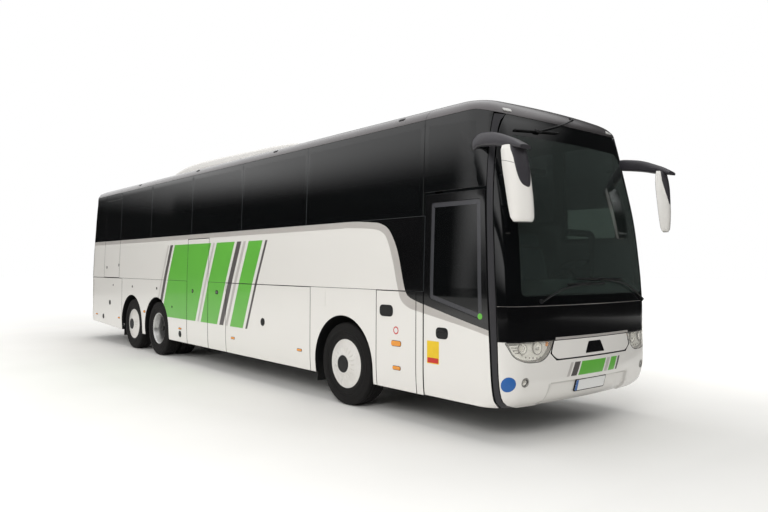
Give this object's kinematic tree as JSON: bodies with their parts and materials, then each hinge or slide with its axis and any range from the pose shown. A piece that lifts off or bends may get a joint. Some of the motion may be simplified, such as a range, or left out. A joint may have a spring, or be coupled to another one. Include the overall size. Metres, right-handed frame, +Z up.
{
  "type": "three-axle coach bus",
  "caption": "High-deck coach with opening doors and flaps, steered front axle, twin-tyred drive axle and tag axle, bonded glass and roof air conditioning.",
  "frame": {"origin": "on the ground under the middle of the whole vehicle's box, mirrors included", "axes": "+X forward, +Y to the vehicle's left, +Z up"},
  "size_m": [13.2526, 2.9134, 3.625],
  "materials": {
    "white_body_paint": "gloss warm white coach paint",
    "dark_body_paint": "gloss dark grey metallic paint",
    "tinted_glass": "dark tinted bonded glass",
    "clear_lamp_plastic": "clear lamp lens",
    "steel_frame": "satin dark chassis paint",
    "floor_board": "ribbed grey floor covering",
    "black_plastic": "grained black plastic",
    "seat_fabric": "woven seat cloth",
    "bellows_rubber": "matt rubber",
    "tyre_rubber": "matt tyre rubber",
    "white_wheel_paint": "gloss white wheel cover",
    "bright_wheel": "polished forged wheel"
  },
  "bodies": {
    "coach": {"side_wall_right": "white_body_paint", "side_wall_left": "white_body_paint", "front_bumper": "white_body_paint", "lower_panels": "white_body_paint", "rear_bumper": "white_body_paint", "rear_wall": "white_body_paint", "mirrors": "white_body_paint", "roof": "dark_body_paint", "roof_front_cap": "dark_body_paint", "front_frame": "dark_body_paint", "roof_pod": "dark_body_paint", "body_glass": "tinted_glass", "windscreen": "tinted_glass", "lamps": "clear_lamp_plastic", "underframe": "steel_frame", "front_axle": "steel_frame", "rear_axles": "steel_frame", "engine": "steel_frame", "deck": "floor_board", "luggage_bays": "floor_board", "arch_liners": "black_plastic", "dashboard": "black_plastic", "luggage_racks": "black_plastic", "passenger_seats": "seat_fabric", "driver_seat": "seat_fabric", "air_springs": "bellows_rubber", "mud_flaps": "bellows_rubber"},
    "knuckle_left": {"knuckle_left": "steel_frame"},
    "knuckle_right": {"knuckle_right": "steel_frame"},
    "tie_rod": {"tie_rod": "steel_frame"},
    "steering_wheel": {"steering_wheel": "black_plastic"},
    "front_door_arm": {"front_door_arm": "steel_frame"},
    "front_door": {"front_door": "white_body_paint", "front_door_glass": "tinted_glass"},
    "middle_door_arm": {"middle_door_arm": "steel_frame"},
    "middle_door": {"middle_door": "white_body_paint"},
    "emergency_door": {"emergency_door": "white_body_paint", "emergency_door_glass": "tinted_glass"},
    "luggage_flap_right": {"luggage_flap_right": "white_body_paint"},
    "service_flap_right": {"service_flap_right": "white_body_paint"},
    "engine_flap_right": {"engine_flap_right": "white_body_paint"},
    "luggage_flap_left_front": {"luggage_flap_left_front": "white_body_paint"},
    "luggage_flap_left_rear": {"luggage_flap_left_rear": "white_body_paint"},
    "engine_flap_left": {"engine_flap_left": "white_body_paint"},
    "engine_lid": {"engine_lid": "white_body_paint"},
    "front_flap": {"front_flap": "white_body_paint"},
    "front_wheel_left": {"front_tyre_left": "tyre_rubber", "front_rim_left": "white_wheel_paint"},
    "tag_wheel_left": {"tag_tyre_left": "tyre_rubber", "tag_rim_left": "white_wheel_paint"},
    "drive_wheels_left": {"drive_tyres_left": "tyre_rubber", "drive_rims_left": "bright_wheel"},
    "front_wheel_right": {"front_tyre_right": "tyre_rubber", "front_rim_right": "white_wheel_paint"},
    "tag_wheel_right": {"tag_tyre_right": "tyre_rubber", "tag_rim_right": "white_wheel_paint"},
    "drive_wheels_right": {"drive_tyres_right": "tyre_rubber", "drive_rims_right": "bright_wheel"}
  },
  "joints": [
    {"name": "steer_left", "type": "hinge", "parent": "coach", "child": "knuckle_left", "pos_m": [3.7125, 0.93, 0.508], "axis": [0, 0, 1], "range_deg": [-42, 42]},
    {"name": "steer_right", "type": "hinge", "parent": "coach", "child": "knuckle_right", "pos_m": [3.7125, -0.93, 0.508], "axis": [0, 0, 1], "range_deg": [-42, 42]},
    {"name": "tie_rod_end", "type": "hinge", "parent": "knuckle_left", "child": "tie_rod", "pos_m": [3.5125, 0.93, 0.387], "axis": [0, 0, 1], "range_deg": [-42, 42]},
    {"name": "steering_column", "type": "hinge", "parent": "coach", "child": "steering_wheel", "pos_m": [5.6725, 0.62, 1.7], "axis": [-0.4695, 0, 0.8829], "range_deg": [-630, 630]},
    {"name": "front_wheel_left_spin", "type": "hinge", "parent": "knuckle_left", "child": "front_wheel_left", "pos_m": [3.7125, 1.087, 0.508], "axis": [0, 1, 0], "continuous": true},
    {"name": "drive_wheels_left_spin", "type": "hinge", "parent": "coach", "child": "drive_wheels_left", "pos_m": [-2.3075, 0.93, 0.508], "axis": [0, 1, 0], "continuous": true},
    {"name": "tag_wheel_left_spin", "type": "hinge", "parent": "coach", "child": "tag_wheel_left", "pos_m": [-3.6525, 1.087, 0.508], "axis": [0, 1, 0], "continuous": true},
    {"name": "front_wheel_right_spin", "type": "hinge", "parent": "knuckle_right", "child": "front_wheel_right", "pos_m": [3.7125, -1.087, 0.508], "axis": [0, 1, 0], "continuous": true},
    {"name": "drive_wheels_right_spin", "type": "hinge", "parent": "coach", "child": "drive_wheels_right", "pos_m": [-2.3075, -0.93, 0.508], "axis": [0, 1, 0], "continuous": true},
    {"name": "tag_wheel_right_spin", "type": "hinge", "parent": "coach", "child": "tag_wheel_right", "pos_m": [-3.6525, -1.087, 0.508], "axis": [0, 1, 0], "continuous": true},
    {"name": "front_door_swing", "type": "hinge", "parent": "coach", "child": "front_door_arm", "pos_m": [6.0425, -1.14, 0.9], "axis": [0, 0, 1], "range_deg": [0, 130]},
    {"name": "front_door_turn", "type": "hinge", "parent": "front_door_arm", "child": "front_door", "pos_m": [5.5425, -1.15, 0.9], "axis": [0, 0, 1], "range_deg": [-130, 0]},
    {"name": "middle_door_swing", "type": "hinge", "parent": "coach", "child": "middle_door_arm", "pos_m": [-0.8325, -1.14, 1.5], "axis": [0, 0, -1], "range_deg": [0, 140]},
    {"name": "middle_door_turn", "type": "hinge", "parent": "middle_door_arm", "child": "middle_door", "pos_m": [-0.3325, -1.15, 1.5], "axis": [0, 0, -1], "range_deg": [-140, 0]},
    {"name": "emergency_door_hinge", "type": "hinge", "parent": "coach", "child": "emergency_door", "pos_m": [-4.4335, -1.27318, 1.509], "axis": [0, 0.0299, 0.9996], "range_deg": [0, 100]},
    {"name": "luggage_flap_right_hinge", "type": "hinge", "parent": "coach", "child": "luggage_flap_right", "pos_m": [1.7925, -1.275, 1.435], "axis": [-1, 0, 0], "range_deg": [0, 100]},
    {"name": "service_flap_right_hinge", "type": "hinge", "parent": "coach", "child": "service_flap_right", "pos_m": [4.7125, -1.275, 1.435], "axis": [-1, 0, 0], "range_deg": [0, 100]},
    {"name": "engine_flap_right_hinge", "type": "hinge", "parent": "coach", "child": "engine_flap_right", "pos_m": [-5.2475, -1.275, 1.435], "axis": [-1, 0, 0], "range_deg": [0, 80]},
    {"name": "luggage_flap_left_front_hinge", "type": "hinge", "parent": "coach", "child": "luggage_flap_left_front", "pos_m": [1.7925, 1.275, 1.435], "axis": [1, 0, 0], "range_deg": [0, 100]},
    {"name": "luggage_flap_left_rear_hinge", "type": "hinge", "parent": "coach", "child": "luggage_flap_left_rear", "pos_m": [-0.5375, 1.275, 1.435], "axis": [1, 0, 0], "range_deg": [0, 100]},
    {"name": "engine_flap_left_hinge", "type": "hinge", "parent": "coach", "child": "engine_flap_left", "pos_m": [-5.2475, 1.275, 1.435], "axis": [1, 0, 0], "range_deg": [0, 80]},
    {"name": "engine_lid_hinge", "type": "hinge", "parent": "coach", "child": "engine_lid", "pos_m": [-6.6295, 0, 1.93], "axis": [0, 1, 0], "range_deg": [0, 85]},
    {"name": "front_flap_hinge", "type": "hinge", "parent": "coach", "child": "front_flap", "pos_m": [6.4205, 0, 0.99], "axis": [0, -1, 0], "range_deg": [0, 80]}
  ],
  "couplings": [
    {"joint": "steer_right", "follows": "steer_left", "ratio": 1},
    {"joint": "tie_rod_end", "follows": "steer_left", "ratio": -1},
    {"joint": "steering_column", "follows": "steer_left", "ratio": 15},
    {"joint": "front_door_turn", "follows": "front_door_swing", "ratio": -1},
    {"joint": "middle_door_turn", "follows": "middle_door_swing", "ratio": -1}
  ]
}
